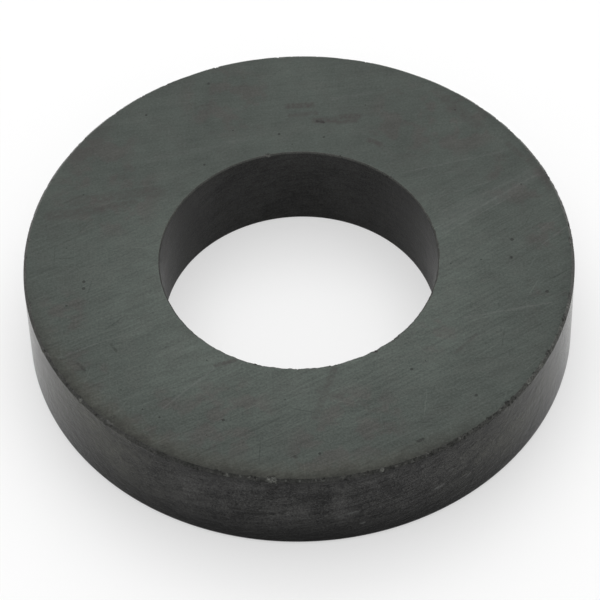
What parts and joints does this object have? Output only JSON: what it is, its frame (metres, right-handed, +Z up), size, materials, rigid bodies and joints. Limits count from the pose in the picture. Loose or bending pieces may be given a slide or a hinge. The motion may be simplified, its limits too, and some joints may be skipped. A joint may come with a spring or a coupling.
{
  "type": "ferrite ring magnet",
  "caption": "Flat ring magnet of sintered ferrite with a plain round bore, ground faces and a chipped top rim.",
  "frame": {"origin": "centre of the flat face that the ring lies on", "axes": "+Z up the axis of the bore, towards the face with the chipped rim; the largest chip lies towards -Y"},
  "size_m": [0.08, 0.08, 0.015],
  "materials": {
    "ferrite": "satin"
  },
  "bodies": {
    "root": {"magnet_ring": "ferrite"}
  },
  "joints": []
}
